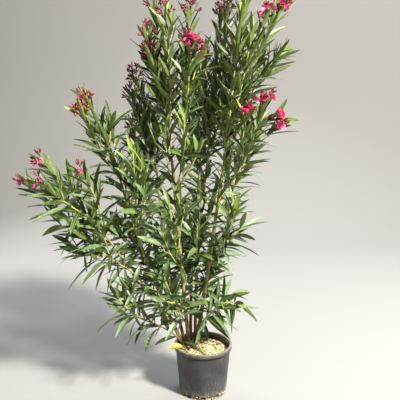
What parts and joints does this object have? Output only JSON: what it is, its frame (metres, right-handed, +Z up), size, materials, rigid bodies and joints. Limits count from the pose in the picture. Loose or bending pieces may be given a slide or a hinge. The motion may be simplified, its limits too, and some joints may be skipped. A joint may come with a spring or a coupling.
{
  "type": "potted oleander",
  "caption": "Tall flowering oleander shrub in a round plastic nursery pot: slender canes forking from one root crown, narrow leaves in whorls, pink blossom at the tips.",
  "frame": {"origin": "middle of the pot's flat underside, on the floor", "axes": "+Z up along the plant's height, +X to the right and -Y to the front as seen in the picture"},
  "size_m": [1.4825, 1.0826, 2.1911],
  "materials": {
    "pot": "satin",
    "mix": "matte",
    "cane": "matte",
    "bough": "matte",
    "foliage": "satin"
  },
  "bodies": {
    "root": {"bough_back_right": "bough", "bough_flare": "bough", "bough_fork_left": "bough", "bough_fork_right": "bough", "bough_low_back_left": "bough", "bough_low_left": "bough", "cane_back": "cane", "cane_back_left": "cane", "cane_far_left": "cane", "cane_left": "cane", "cane_middle": "cane", "cane_right": "cane", "cane_sucker": "cane", "mass_back_left": "foliage", "mass_back_left_low": "foliage", "mass_back_low": "foliage", "mass_back_right": "foliage", "mass_back_top": "foliage", "mass_centre_low": "foliage", "mass_centre_top": "foliage", "mass_front_high": "foliage", "mass_front_low": "foliage", "mass_front_waist": "foliage", "mass_left_blossom": "foliage", "mass_left_drape": "foliage", "mass_left_inner": "foliage", "mass_left_shoulder": "foliage", "mass_left_top": "foliage", "mass_left_waist": "foliage", "mass_low_left_blossom": "foliage", "mass_middle_top": "foliage", "mass_middle_waist": "foliage", "mass_right_blossom": "foliage", "mass_right_flare": "foliage", "mass_right_low": "foliage", "mass_right_top": "foliage", "mass_right_waist": "foliage", "mass_sucker": "foliage", "pot": "pot", "soil": "mix"}
  },
  "joints": []
}
